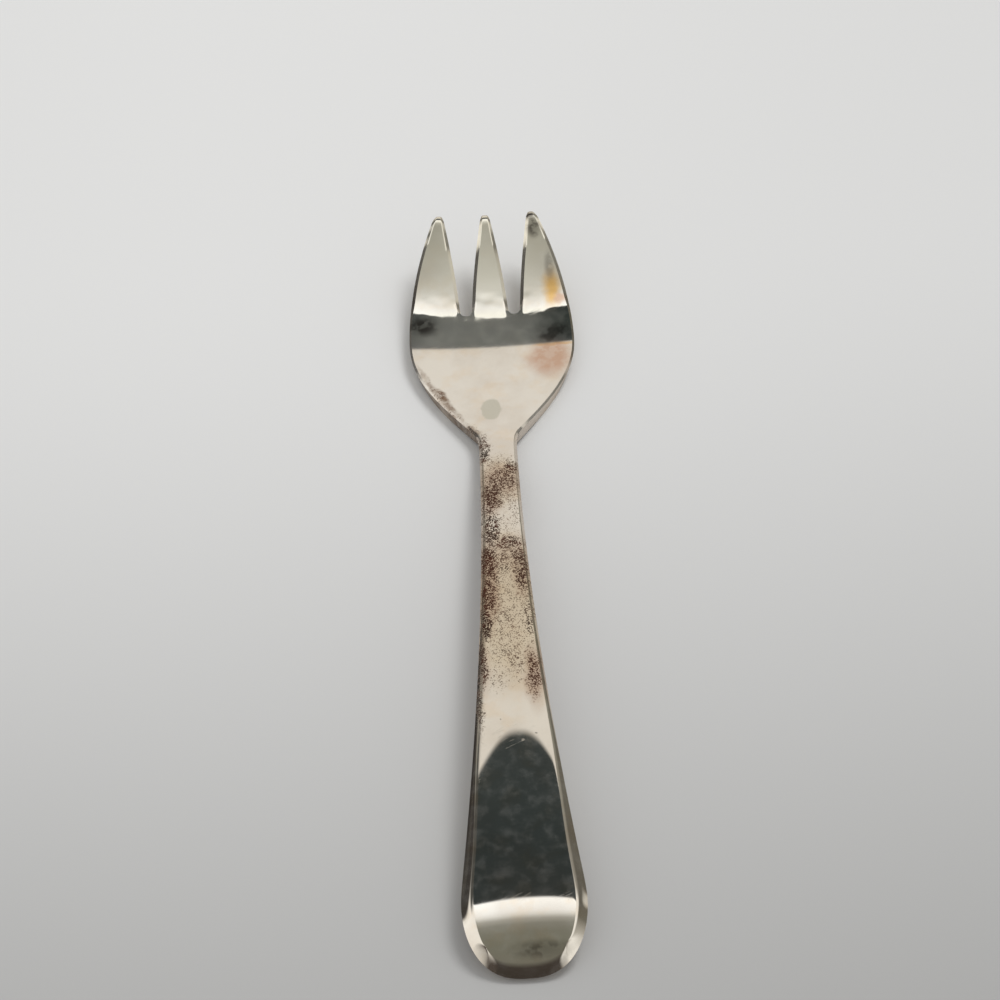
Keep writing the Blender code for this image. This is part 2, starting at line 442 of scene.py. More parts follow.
@dataclass
class ForkBody:
    """The fork: one blank, drawn out row by row from the end of the handle to the tips."""

    shape: ForkShape
    end_rows: int = 7
    handle_rows: int = 16
    bowl_rows: int = 14
    tine_rows: int = 9
    end_corner: float = math.radians(45.0)
    end_step: float = math.radians(1.0)
    ridge_sharpness: float = 0.1
    # The ridge's two corners at the end are set in and up, because rounding would dent them.
    corner_inset: float = 0.7 * MM
    corner_lift: float = 0.15 * MM
    edge_sharpness: float = 1.0
    sharp_angle: float = math.radians(32.0)
    rest_depth: float = 0.12 * MM
    cut_tolerance: float = 0.0001 * MM
    laying_passes: int = 3
    rounding: int = 2

    @property
    def root_row(self) -> int:
        """Row on the roots of the slots."""
        return self.end_rows + self.handle_rows + self.bowl_rows

    @property
    def tip_row(self) -> int:
        """Row on the tips."""
        return self.root_row + self.tine_rows

    def place_of(self, row: int) -> float:
        """Finds the place of a row that crosses the fork square.

        Args:
            row: Row from the end of the handle.

        Returns:
            Distance from the end of the handle.
        """
        shape = self.shape
        if row <= self.end_rows + self.handle_rows:
            share = (row - self.end_rows) / self.handle_rows
            return shape.end_round + (shape.handle_length - shape.end_round) * share
        if row <= self.root_row:
            return shape.root - (shape.root - shape.handle_length) * (self.root_row - row) / self.bowl_rows
        return shape.tip - shape.tine_length * (self.tip_row - row) / self.tine_rows

    def round_point(self, angle: float, inside: float = 0.0) -> Vector:
        """Finds a point of the end's round, or of a line inside it.

        Args:
            angle: Angle from the middle of the end.
            inside: Distance inside the outline.

        Returns:
            Distance from the mirror plane and place of the point.
        """
        shape = self.shape

        def outline(turn: float) -> Vector:
            """Finds a point of the outline.

            Args:
                turn: Angle from the middle of the end.

            Returns:
                Distance from the mirror plane and place of the point.
            """
            out = math.copysign(abs(math.sin(turn)) ** (2.0 / shape.end_fullness), turn)
            back = max(math.cos(turn), 0.0) ** (2.0 / shape.end_fullness)
            return Vector((shape.handle_width / 2 * out, shape.end_round * (1.0 - back)))

        along = outline(min(angle + self.end_step, math.pi / 2)) - outline(angle - self.end_step)
        return outline(angle) + inside * Vector((-along.y, along.x)).normalized()

    def end_point(self, column: int, row: int) -> Vector:
        """Spans the rounded end as a patch between the ridge inside its round and the first square row.

        Args:
            column: Column on the right half.
            row: Row before the first square one.

        Returns:
            Distance from the mirror plane and place of the point.
        """
        shape = self.shape
        spaced = shape.across(shape.end_round)
        side_turn = math.pi / 2 - self.end_corner
        if row == 0:
            return self.round_point(self.end_corner * spaced[column] / spaced[EDGE])
        if column == EDGE:
            return self.round_point(self.end_corner + side_turn * row / self.end_rows)
        if row == 1 and column == RIDGE:
            return self.round_point(self.end_corner, shape.handle_rim + self.corner_inset)
        across = spaced[column] / spaced[RIDGE]
        along = (row - 1) / (self.end_rows - 1)
        corner = self.round_point(self.end_corner, shape.handle_rim)
        end = self.round_point(self.end_corner * across, shape.handle_rim)
        side = self.round_point(self.end_corner + side_turn * along, shape.handle_rim)
        first = Vector((0.0, shape.handle_rim))
        last = Vector((0.0, shape.end_round))
        straight = Vector((spaced[column], shape.end_round))
        widest = Vector((spaced[RIDGE], shape.end_round))
        ruled = end.lerp(straight, along) + first.lerp(last, along).lerp(side, across)
        return ruled - first.lerp(corner, across).lerp(last.lerp(widest, across), along)

    def top_point(self, column: int, row: int) -> Vector:
        """Finds a point of the top before its rim is lowered.

        Args:
            column: Column, negative on the left.
            row: Row from the end of the handle.

        Returns:
            The point, with its place as Y.
        """
        shape = self.shape
        side = -1.0 if column < 0 else 1.0
        if row < self.end_rows:
            out, place = self.end_point(abs(column), row)
            half = shape.handle_width / 2
        else:
            place = self.place_of(row)
            out = shape.across(place)[abs(column)]
            half = shape.half_width(place)
            if row == self.root_row and abs(column) == Tine.CENTRE.value[1] + 1:
                place -= shape.slot_round
        lift = self.corner_lift if row == 1 and abs(column) == RIDGE else 0.0
        return Vector((side * out, place, shape.rise(place) - shape.fall(place, side * out / half) + lift))

    def draw_top(self, bench: Bench) -> None:
        """Draws the top out row by row, and the tines one by one from the roots of the slots.

        Args:
            bench: Bench that holds the blank.
        """
        for row in range(1, self.root_row):
            bench.grow(row, (-EDGE, EDGE))
        for row in range(self.root_row, self.tip_row):
            for tine in Tine:
                bench.grow(row, tine.value)
        for (_, row, column), point in bench.points().items():
            bench.put(point, self.top_point(column, row))

    def draw_underside(self, bench: Bench) -> None:
        """Gives the blank its thickness, flat under the stem and handle and dished under the bowl.

        Args:
            bench: Bench that holds the blank.
        """
        bpy.ops.mesh.select_all(action="SELECT")
        bpy.ops.mesh.extrude_region_move(TRANSFORM_OT_translate={"value": (0.0, 0.0, 0.0)})
        bench.retag("level", Level.UNDERSIDE.value)
        points = bench.points()
        for (level, row, column), point in points.items():
            if level == Level.UNDERSIDE.value:
                place = point.co.y
                metal = self.shape.metal(place)
                tilt = self.shape.tilt(place)
                middle = self.shape.rise(place)
                if self.shape.crown(place) < 0.0:
                    middle = point.co.z
                back = Vector((point.co.x, place + metal * math.sin(tilt), middle - metal * math.cos(tilt)))
                inset = self.shape.inset(place)
                if abs(column) >= RIDGE:
                    back.x -= math.copysign(inset, column)
                if row == 0:
                    back.y += inset
                bench.put(point, back)

    def lower_rim(self, bench: Bench) -> None:
        """Lowers the outline and the sides of the slots, which leaves a ridge inside them.

        Args:
            bench: Bench that holds the blank.
        """
        sides = {column for tine in Tine for column in tine.value}
        for (level, row, column), point in bench.points().items():
            outer = row == 0 or abs(column) == EDGE or (row > self.root_row and column in sides)
            if level == Level.TOP.value and outer:
                bench.put(point, point.co - Vector((0.0, 0.0, self.shape.rim_drop(point.co.y))))

    def keep_ridges(self, bench: Bench) -> None:
        """Keeps the rim's ridge and the outline's edges crisp.

        Args:
            bench: Bench that holds the blank.
        """
        inner, outer = Tine.CENTRE.value[1], Tine.RIGHT.value[0]
        slot = set(range(inner, outer + 1))
        neck_row = self.end_rows + self.handle_rows
        rounded, crisp = [], []
        for number, edge in enumerate(bench.mesh.edges):
            levels, rows, columns = bench.span(edge)
            on_top = levels == {Level.TOP.value}
            beyond = min(rows) >= self.root_row
            handle_side = columns == {RIDGE} and min(rows) > 0
            handle_end = rows == {1} and max(columns) < EDGE
            head_side = columns == {RIDGE} and min(rows) >= neck_row
            slot_side = columns in ({inner - 1}, {outer + 1}) and beyond
            outline = columns == {EDGE} or rows == {0} or columns <= slot and beyond
            if on_top and max(rows) <= neck_row and (handle_side or handle_end):
                rounded.append(number)
            if on_top and (head_side or slot_side) or len(levels) == 1 and outline:
                crisp.append(number)
        bench.crease(rounded, self.ridge_sharpness)
        bench.crease(crisp, self.edge_sharpness)

    def lay_down(self, piece: bpy.types.Object) -> None:
        """Lays the fork on the table, wears its underside flat there and fits it to the solid's box.

        Args:
            piece: The rounded fork.
        """
        low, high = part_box("fork")
        bpy.ops.object.mode_set(mode="EDIT")
        bpy.ops.mesh.select_all(action="SELECT")
        points = bmesh.from_edit_mesh(piece.data).verts
        for _ in range(self.laying_passes):
            middle = self.shape.tip / 2
            heel = min((point.co for point in points if point.co.y < middle), key=lambda spot: spot.z)
            bowl = min((point.co for point in points if point.co.y >= middle), key=lambda spot: spot.z)
            turn = math.atan2(bowl.z - heel.z, bowl.y - heel.y)
            LOG.info("turned by %.4f degrees to lie flat", math.degrees(turn))
            bpy.ops.transform.rotate(value=turn, orient_axis="X", center_override=heel)
        least = [min(point.co[axis] for point in points) for axis in range(3)]
        most = [max(point.co[axis] for point in points) for axis in range(3)]
        bpy.ops.transform.translate(value=(0.0, -(least[1] + most[1]) / 2, -least[2] - self.rest_depth))
        bpy.ops.mesh.bisect(
            plane_co=(0.0, 0.0, 0.0),
            plane_no=(0.0, 0.0, 1.0),
            use_fill=True,
            clear_inner=True,
            threshold=self.cut_tolerance,
        )
        bpy.ops.mesh.select_all(action="SELECT")
        fit = [(high[axis] - low[axis]) / (most[axis] - least[axis]) for axis in range(2)]
        fit.append(high.z / (most[2] - least[2] - self.rest_depth))
        bpy.ops.transform.resize(value=fit, center_override=(0.0, 0.0, 0.0))
        bpy.ops.mesh.normals_make_consistent(inside=False)
        bpy.ops.object.mode_set(mode="OBJECT")
        LOG.info("fitted to the solid by %s", [round(share, 5) for share in fit])

    def build(self) -> bpy.types.Object:
        """Makes the whole fork.

        Returns:
            The finished piece at the origin.
        """
        bench = Bench("silver_fork", EDGE)
        self.draw_top(bench)
        self.draw_underside(bench)
        self.lower_rim(bench)
        self.keep_ridges(bench)
        bpy.ops.mesh.select_all(action="SELECT")
        bpy.ops.mesh.normals_make_consistent(inside=False)
        bpy.ops.object.mode_set(mode="OBJECT")
        piece = bench.piece
        bpy.ops.object.modifier_add(type="SUBSURF")
        soft = piece.modifiers[-1]
        soft.levels = self.rounding
        soft.render_levels = self.rounding
        bpy.ops.object.modifier_apply(modifier=soft.name)
        self.lay_down(piece)
        bpy.ops.object.shade_smooth_by_angle(angle=self.sharp_angle)
        return piece


Colour = tuple[float, float, float, float]
Socket = bpy.types.NodeSocket
Feed = float | tuple[float, ...] | Socket


@dataclass(frozen=True)
class Noise:
    """An uneven pattern: its puffs on one unit of length, its finer layers and their weight."""

    scale: Feed
    detail: float = 2.0
    roughness: float = 0.5


class Graph:
    """One node tree, with short ways to add nodes to it and join them."""

    def __init__(self, tree: bpy.types.NodeTree) -> None:
        """Takes over a tree and clears it."""
        self.tree = tree
        tree.nodes.clear()

    def node(self, kind: str, **settings: object) -> bpy.types.Node:
        """Adds a node.

        Args:
            kind: Node type, without the word that all shader nodes start with.
            settings: Values of the node's own properties.

        Returns:
            The new node.
        """
        made = self.tree.nodes.new(f"ShaderNode{kind}")
        for name, value in settings.items():
            setattr(made, name, value)
        return made

    def feed(self, socket: Socket, value: Feed) -> None:
        """Joins a socket to another or sets its value.

        Args:
            socket: Input to feed.
            value: Output to join it to, or a plain value.
        """
        if isinstance(value, Socket):
            self.tree.links.new(value, socket)
        else:
            socket.default_value = value

    def call(self, made: bpy.types.Node, output: int | str, inputs: dict[int | str, Feed]) -> Socket:
        """Feeds a node.

        Args:
            made: Node to feed.
            output: Output that is wanted.
            inputs: Values and sockets by input.

        Returns:
            The wanted output.
        """
        for key, value in inputs.items():
            self.feed(made.inputs[key], value)
        return made.outputs[output]

    def math(self, operation: str, first: Feed, second: Feed = 0.0, clamp: bool = False) -> Socket:
        """Works out one value from two."""
        made = self.node("Math", operation=operation, use_clamp=clamp)
        return self.call(made, 0, {0: first, 1: second})

    def plus(self, first: Feed, second: Feed) -> Socket:
        """Adds two values."""
        return self.math("ADD", first, second)

    def minus(self, first: Feed, second: Feed) -> Socket:
        """Takes the second value from the first."""
        return self.math("SUBTRACT", first, second)

    def times(self, first: Feed, second: Feed) -> Socket:
        """Multiplies two values."""
        return self.math("MULTIPLY", first, second)

    def over(self, first: Feed, second: Feed) -> Socket:
        """Divides the first value by the second."""
        return self.math("DIVIDE", first, second)

    def most(self, first: Feed, second: Feed) -> Socket:
        """Takes the larger of two values."""
        return self.math("MAXIMUM", first, second)

    def vector(self, operation: str, first: Feed, second: Feed) -> Socket:
        """Works out one vector from two, or a length where the operation gives one."""
        output = "Value" if operation == "LENGTH" else "Vector"
        return self.call(self.node("VectorMath", operation=operation), output, {0: first, 1: second})

    def spread(self, value: Feed, low: Feed, high: Feed, start: Feed = 0.0, end: Feed = 1.0) -> Socket:
        """Maps a value smoothly from one range to another.

        Args:
            value: Value to map.
            low: Value that gives start.
            high: Value that gives end.
            start: First result.
            end: Last result.

        Returns:
            The mapped value.
        """
        made = self.node("MapRange", interpolation_type="SMOOTHSTEP")
        return self.call(made, 0, {0: value, 1: low, 2: high, 3: start, 4: end})

    def blend(self, share: Feed, low: Feed, high: Feed, mode: str = "MIX") -> Socket:
        """Mixes two colours. The node's colour sockets come after those for values and vectors."""
        made = self.node("Mix", data_type="RGBA", blend_type=mode)
        return self.call(made, 2, {0: share, 6: low, 7: high})

    def noise(self, place: Feed, noise: Noise, output: int | str = 0) -> Socket:
        """Adds a noise texture that reads the given place, and gives one of its outputs."""
        inputs = {"Scale": noise.scale, "Detail": noise.detail, "Roughness": noise.roughness}
        return self.call(self.node("TexNoise"), output, {"Vector": place, **inputs})

    def group(self, tree: bpy.types.NodeTree, **inputs: Feed) -> bpy.types.NodeOutputs:
        """Places a shared group, with its inputs by name, and gives its outputs."""
        self.call(made := self.node("Group", node_tree=tree), 0, inputs)
        return made.outputs

    def surface(self, kind: str, shader: bpy.types.Node) -> None:
        """Joins a shader to an output of the given kind."""
        self.feed(self.node(kind).inputs["Surface"], shader.outputs[0])


class SharedGroup:
    """A node group that is built once and placed wherever its effect is wanted."""

    def __init__(self, name: str, inputs: dict[str, str], outputs: dict[str, str]) -> None:
        """Makes the empty group.

        Args:
            name: Name of the effect.
            inputs: Kinds of the inputs by name.
            outputs: Kinds of the outputs by name.
        """
        self.tree = bpy.data.node_groups.new(name, "ShaderNodeTree")
        for side, sockets in (("INPUT", inputs), ("OUTPUT", outputs)):
            for label, kind in sockets.items():
                self.tree.interface.new_socket(label, in_out=side, socket_type=f"NodeSocket{kind}")
        self.graph = Graph(self.tree)
        self.inputs = self.tree.nodes.new("NodeGroupInput").outputs
        self.outputs = self.tree.nodes.new("NodeGroupOutput").inputs

    def give(self, output: str, value: Socket) -> None:
        """Joins a result to one of the outputs."""
        self.graph.feed(self.outputs[output], value)


@dataclass
class Effects:
    """The effects that the finishes share. Places are in millimetres."""

    grain_turn: tuple[float, float, float] = (0.6, 0.4, 0.9)
    grain_roughness: float = 0.6
    fine_share: float = 0.72
    coarse_share: float = 0.28
    coarse_scale: float = 0.3
    bare_level: float = 0.68
    covered_drop: float = 0.26
    grain_edge: float = 0.04
    grain_start: tuple[float, float] = (0.08, 0.3)
    lines: Noise = Noise(1.0, 1.0, 0.4)
    line_level: float = 0.5
    line_width: tuple[float, float] = (0.004, 0.022)
    gaps: Noise = Noise(0.35)
    gap_range: tuple[float, float] = (0.5, 0.62)
    pit_core: float = 0.5
    cloud_detail: float = 4.0
    cloud_roughness: float = 0.55

    def __post_init__(self) -> None:
        """Builds every group once."""
        self.patch = self.soft_patch()
        self.grain = self.tarnish_grain()
        self.scratch = self.fine_scratches()
        self.pit = self.small_pits()
        self.cloud = self.smudge_cloud()

    def soft_patch(self) -> bpy.types.NodeTree:
        """Builds the group of a rounded patch with a soft edge.

        Returns:
            The group.
        """
        made = SharedGroup(
            "soft patch",
            {"Place": "Vector", "Centre": "Vector", "Reach": "Vector", "Softness": "Float"},
            {"Mask": "Float"},
        )
        graph, given = made.graph, made.inputs
        off = graph.vector("SUBTRACT", given["Place"], given["Centre"])
        far = graph.vector("LENGTH", graph.vector("DIVIDE", off, given["Reach"]), (0.0, 0.0, 0.0))
        inner = graph.minus(1.0, given["Softness"])
        outer = graph.plus(1.0, given["Softness"])
        made.give("Mask", graph.spread(far, inner, outer, 1.0, 0.0))
        return made.tree

    def tarnish_grain(self) -> bpy.types.NodeTree:
        """Builds the group of grains that crowd together as the cover grows, with a paler halo round them.

        Returns:
            The group.
        """
        made = SharedGroup(
            "tarnish grain",
            {"Place": "Vector", "Grain": "Float", "Cover": "Float", "Halo": "Float"},
            {"Mask": "Float", "Halo": "Float"},
        )
        graph, given = made.graph, made.inputs
        turned = graph.node("VectorRotate", rotation_type="EULER_XYZ")
        place = graph.call(turned, 0, {"Vector": given["Place"], "Rotation": self.grain_turn})
        scale = graph.over(1.0, given["Grain"])
        fine = graph.noise(place, Noise(scale, roughness=self.grain_roughness))
        coarse = graph.noise(place, Noise(graph.times(scale, self.coarse_scale)))
        mixed = graph.plus(graph.times(fine, self.fine_share), graph.times(coarse, self.coarse_share))
        level = graph.minus(self.bare_level, graph.times(given["Cover"], self.covered_drop))
        soft = graph.plus(level, self.grain_edge)
        inside = graph.spread(given["Cover"], *self.grain_start)
        made.give("Mask", graph.times(inside, graph.spread(mixed, level, soft)))
        low = graph.minus(level, given["Halo"])
        made.give("Halo", graph.times(inside, graph.spread(mixed, low, soft)))
        return made.tree

    def fine_scratches(self) -> bpy.types.NodeTree:
        """Builds the group of fine broken lines that run along one direction.

        Returns:
            The group.
        """
        made = SharedGroup(
            "fine scratches",
            {"Place": "Vector", "Turn": "Float", "Pitch": "Float", "Length": "Float"},
            {"Mask": "Float"},
        )
        graph, given = made.graph, made.inputs
        turned = graph.node("VectorRotate", rotation_type="Z_AXIS")
        place = graph.call(turned, 0, {"Vector": given["Place"], "Angle": given["Turn"]})
        across = graph.over(1.0, given["Pitch"])
        along = graph.over(1.0, given["Length"])
        axes = graph.call(graph.node("CombineXYZ"), 0, {0: across, 1: along, 2: along})
        stretched = graph.vector("MULTIPLY", place, axes)
        lines = graph.noise(stretched, self.lines)
        near = graph.math("ABSOLUTE", graph.minus(lines, self.line_level))
        thin = graph.spread(near, *self.line_width, 1.0, 0.0)
        gaps = graph.noise(given["Place"], self.gaps)
        made.give("Mask", graph.times(thin, graph.spread(gaps, *self.gap_range)))
        return made.tree

    def small_pits(self) -> bpy.types.NodeTree:
        """Builds the group of small round pits, of which only a share of the places has one.

        Returns:
            The group.
        """
        made = SharedGroup(
            "small pits",
            {"Place": "Vector", "Spacing": "Float", "Size": "Float", "Share": "Float"},
            {"Mask": "Float"},
        )
        graph, given = made.graph, made.inputs
        cells = graph.node("TexVoronoi")
        graph.call(cells, 0, {"Vector": given["Place"], "Scale": graph.over(1.0, given["Spacing"])})
        tone = graph.node("SeparateColor")
        graph.call(tone, 0, {0: cells.outputs["Color"]})
        own = graph.times(given["Size"], tone.outputs[1])
        dot = graph.spread(cells.outputs["Distance"], graph.times(own, self.pit_core), own, 1.0, 0.0)
        chosen = graph.math("LESS_THAN", tone.outputs[0], given["Share"])
        made.give("Mask", graph.times(dot, chosen))
        return made.tree

    def smudge_cloud(self) -> bpy.types.NodeTree:
        """Builds the group of a soft uneven cloud, from nothing to full.

        Returns:
            The group.
        """
        made = SharedGroup(
            "smudge cloud",
            {"Place": "Vector", "Size": "Float", "Low": "Float", "High": "Float"},
            {"Mask": "Float"},
        )
        graph, given = made.graph, made.inputs
        scale = graph.over(1.0, given["Size"])
        puff = graph.noise(given["Place"], Noise(scale, self.cloud_detail, self.cloud_roughness))
        made.give("Mask", graph.spread(puff, given["Low"], given["High"]))
        return made.tree


@dataclass(frozen=True)
class Patch:
    """A rounded place on the fork, in millimetres from the mirror plane and from the end of the handle."""

    across: float
    place: float
    reach_across: float
    reach_along: float
    strength: float = 1.0
    softness: float = 0.6


@dataclass(frozen=True)
class Cloud:
    """Size of a cloud's puffs in millimetres, the levels where it begins and is full, and its strength."""

    size: float
    low: float
    high: float
    strength: float


@dataclass(frozen=True)
class Scratch:
    """Direction of fine lines in radians, and their pitch and length in millimetres."""

    turn: float
    pitch: float
    length: float


Patches = tuple[Patch, ...]


class FinishGraph(Graph):
    """The tree of the fork's finish, which lays the shared effects by their place on the fork."""

    def __init__(self, tree: bpy.types.NodeTree, effects: Effects, start: float) -> None:
        """Takes over a tree and measures places in millimetres from the end of the handle.

        Args:
            tree: Tree of the material.
            effects: Shared groups.
            start: Y of the end of the handle, in metres.
        """
        super().__init__(tree)
        self.effects = effects
        self.place = self.call(self.node("Mapping", vector_type="POINT"), 0, {
            "Vector": self.node("TexCoord").outputs["Object"],
            "Location": (0.0, -start / MM, 0.0),
            "Scale": (1 / MM, 1 / MM, 1 / MM),
        })

    def mask(self, patches: Patches, place: Feed, full_height: float = 1000.0) -> Feed:
        """Joins patches into one mask that takes the strongest.

        Args:
            patches: Patches to join.
            place: Place in millimetres.
            full_height: Reach that takes in the fork from its underside to its top.

        Returns:
            The mask.
        """
        mask: Feed = 0.0
        for patch in patches:
            made = self.group(
                self.effects.patch,
                Place=place,
                Centre=(patch.across, patch.place, 0.0),
                Reach=(patch.reach_across, patch.reach_along, full_height),
                Softness=patch.softness,
            )
            mask = self.most(mask, self.times(made["Mask"], patch.strength))
        return mask

    def cloud(self, cloud: Cloud) -> Socket:
        """Lays a soft cloud."""
        sizes = {"Size": cloud.size, "Low": cloud.low, "High": cloud.high}
        return self.times(self.group(self.effects.cloud, Place=self.place, **sizes)["Mask"], cloud.strength)

    def scratches(self, scratch: Scratch) -> Socket:
        """Lays fine lines along one direction."""
        sizes = {"Turn": scratch.turn, "Pitch": scratch.pitch, "Length": scratch.length}
        return self.group(self.effects.scratch, Place=self.place, **sizes)["Mask"]


@dataclass(frozen=True)
class WornSilver:
    """Polished silver plate with tarnish on the stem, tinted films, fine scratches and painted shade on the
    rim at the end of the handle.
    """

    silver: Colour = (0.90, 0.875, 0.83, 1.0)
    black: Colour = (0.048, 0.030, 0.022, 1.0)
    brown: Colour = (0.118, 0.043, 0.026, 1.0)
    tan: Colour = (0.74, 0.65, 0.48, 1.0)
    stain: Colour = (0.42, 0.27, 0.19, 1.0)
    halo: Colour = (0.42, 0.30, 0.21, 1.0)
    umber: Colour = (0.26, 0.18, 0.13, 1.0)
    # Colour of real smudges, and of the painted shade at the end of the handle.
    soot_and_end_shade: Colour = (0.075, 0.058, 0.046, 1.0)
    gold: Colour = (0.84, 0.54, 0.21, 1.0)
    rose: Colour = (0.66, 0.45, 0.34, 1.0)
    olive: Colour = (0.88, 0.85, 0.74, 1.0)
    grey: Colour = (0.64, 0.63, 0.56, 1.0)

    wander: Noise = Noise(0.45, 3.0, 0.6)
    wander_reach: float = 1.6
    nudge_reach: float = 0.9
    shoulder_lean: float = 0.5
    smear_cover: float = 0.6
    grain: float = 0.20
    halo_width: float = 0.05
    halo_share: float = 0.4
    thin_cover: tuple[float, float] = (0.45, 0.9)
    thin_strength: float = 0.5
    pit_spacing: float = 0.9
    pit_size: float = 0.3
    pit_share: float = 0.2
    pit_strength: float = 0.8
    clouded: Cloud = Cloud(9.0, 0.42, 0.66, 0.18)
    mottled: Cloud = Cloud(3.2, 0.46, 0.68, 0.14)
    blotted: Cloud = Cloud(1.5, 0.38, 0.58, 1.0)
    smudge_least: float = 0.45
    rose_least: float = 0.78
    stain_least: float = 0.7
    warmth: Noise = Noise(0.5)
    warm_range: tuple[float, float] = (0.44, 0.62)
    scratched: tuple[Scratch, Scratch] = (Scratch(0.12, 0.35, 14.0), Scratch(1.1, 0.5, 9.0))
    scratch_depth: float = 0.03
    ripple: Noise = Noise(0.3, 1.0)
    relief_strength: float = 0.5
    relief_depth: float = 0.02 * MM
    hazed: Cloud = Cloud(1.7, 0.42, 0.72, 0.04)
    thinnest_veil: float = 0.024
    polish: float = 0.026
    veil_dullness: float = 0.2
    spot_dullness: float = 0.08
    tarnish_dullness: float = 0.5
    tarnish_bareness: float = 0.1

    tarnished: Patches = (
        Patch(-1.95, 87.6, 1.0, 4.2, 0.80),
        Patch(1.5, 83.3, 1.1, 2.6, 0.80),
        Patch(0.3, 80.4, 2.8, 3.2, 0.82),
        Patch(-1.2, 77.2, 1.8, 3.8, 0.86),
        Patch(-1.5, 70.4, 1.6, 4.6, 0.86),
        Patch(0.6, 67.3, 2.6, 1.8, 0.80),
        Patch(1.9, 64.5, 1.2, 3.0, 0.77),
        Patch(-2.1, 63.6, 1.3, 4.2, 0.89),
        Patch(-2.5, 57.5, 1.2, 4.4, 0.89),
        Patch(-2.9, 52.5, 1.1, 4.0, 0.87),
        Patch(2.1, 61.5, 1.3, 4.4, 0.83),
        Patch(0.0, 63.5, 1.4, 3.4, 0.68),
        Patch(0.2, 54.5, 2.4, 6.5, 0.56),
        Patch(2.9, 53.8, 0.9, 5.6, 0.72),
        Patch(-3.5, 45.5, 0.8, 4.6, 0.82),
        Patch(2.9, 43.4, 1.2, 4.6, 0.80),
        Patch(0.7, 46.0, 1.6, 4.2, 0.60),
        Patch(-1.6, 43.5, 1.6, 3.4, 0.46),
        Patch(-4.3, 39.5, 0.6, 6.0, 0.76),
        Patch(0.0, 56.0, 3.8, 14.0, 0.52, 0.35),
        Patch(0.0, 80.0, 3.4, 6.5, 0.58, 0.35),
        Patch(-3.6, 93.0, 0.9, 1.6, 0.62),
        Patch(1.4, 75.3, 1.5, 2.4, 0.56),
        Patch(1.2, 71.3, 1.8, 3.2, 0.48),
        Patch(-1.9, 61.0, 1.5, 9.5, 0.76),
        Patch(-1.8, 74.0, 1.2, 9.0, 0.74),
    )
    pitted: Patches = (
        Patch(0.0, 62.0, 7.0, 26.0, 1.0, 0.3),
    )
    stained: Patches = (
        Patch(0.2, 80.5, 3.0, 3.8, 0.70),
        Patch(-1.4, 77.0, 1.6, 4.0, 0.70),
        Patch(0.0, 65.4, 2.8, 3.4, 0.55),
        Patch(-2.2, 60.0, 1.4, 9.0, 0.80),
        Patch(2.0, 62.5, 1.5, 6.0, 0.60),
        Patch(0.2, 56.0, 3.0, 16.0, 0.20),
        Patch(3.0, 43.0, 1.3, 5.0, 0.80),
        Patch(-3.4, 46.0, 0.9, 5.0, 0.45),
    )
    tanned: Patches = (
        Patch(0.0, 55.0, 4.4, 13.0, 0.65, 0.4),
        Patch(0.0, 80.5, 3.6, 5.0, 0.45, 0.35),
    )
    # Here across counts from a line with the slant of the bowl's left shoulder.
    smeared: Patches = (
        Patch(42.45, 103.6, 0.5, 2.6, 0.55),
        Patch(42.6, 101.0, 0.75, 2.0, 1.0),
        Patch(42.5, 97.0, 0.6, 5.0, 0.72),
        Patch(42.8, 92.8, 0.7, 2.0, 0.60),
    )
    gilded: Patches = (
        Patch(9.1, 119.4, 1.15, 2.5, 1.0, 0.7),
        Patch(8.6, 109.75, 2.6, 0.3, 0.8, 0.6),
    )
    rosy: Patches = (
        Patch(8.1, 107.3, 3.0, 3.2, 0.95, 0.5),
        Patch(10.2, 117.7, 0.8, 0.8, 0.8),
    )
    yellowed: Patches = (
        Patch(0.0, 130.0, 16.0, 11.0, 0.8, 0.5),
        Patch(0.0, 113.5, 16.0, 3.2, 0.8, 0.3),
    )
    spotted: Patches = (
        Patch(-0.65, 97.1, 1.45, 2.4, 0.9, 0.12),
    )
    smudges_and_end_shade: Patches = (
        # Painted shade: this first patch darkens the rim at the end of the handle, where it lies in shadow
        # on the table; the others are real smudges.
        Patch(1.9, 2.6, 2.8, 0.8, 0.65, 0.8),
        Patch(-9.8, 114.2, 1.9, 1.5, 0.85),
        Patch(8.9, 111.9, 2.6, 1.6, 0.75),
        Patch(7.0, 128.9, 0.9, 1.3, 0.85),
        Patch(6.6, 130.6, 0.7, 0.8, 0.85),
        Patch(8.9, 122.9, 0.6, 2.0, 0.40),
    )
    veiled: Patches = (
        Patch(-2.0, 104.0, 12.0, 16.0, 0.15, 0.3),
        Patch(0.0, 128.0, 16.0, 10.0, 0.10, 0.35),
    )
    rippled: Patches = (
        Patch(0.0, 117.3, 16.0, 1.8, 7.5, 0.5),
    )

    def wandered(self, graph: FinishGraph) -> tuple[Socket, Socket]:
        """Shifts the places unevenly, so that patches get ragged outlines.

        Args:
            graph: Tree of the material.

        Returns:
            The places shifted far, and the places shifted a little.
        """
        away = graph.vector("SUBTRACT", graph.noise(graph.place, self.wander, "Color"), (0.5, 0.5, 0.5))
        far, little = (
            graph.vector("ADD", graph.place, graph.vector("MULTIPLY", away, (reach, reach, reach)))
            for reach in (self.wander_reach, self.nudge_reach)
        )
        return far, little

    def smear(self, graph: FinishGraph, warped: Socket) -> Feed:
        """Marks the smear along the left shoulder of the bowl.

        Args:
            graph: Tree of the material.
            warped: Places with ragged outlines.

        Returns:
            The mask.
        """
        parts = graph.node("SeparateXYZ")
        graph.call(parts, 0, {0: warped})
        beside = graph.plus(parts.outputs["X"], graph.times(parts.outputs["Y"], self.shoulder_lean))
        leant = graph.call(graph.node("CombineXYZ"), 0, {0: beside, 1: parts.outputs["Y"]})
        return graph.mask(self.smeared, leant)

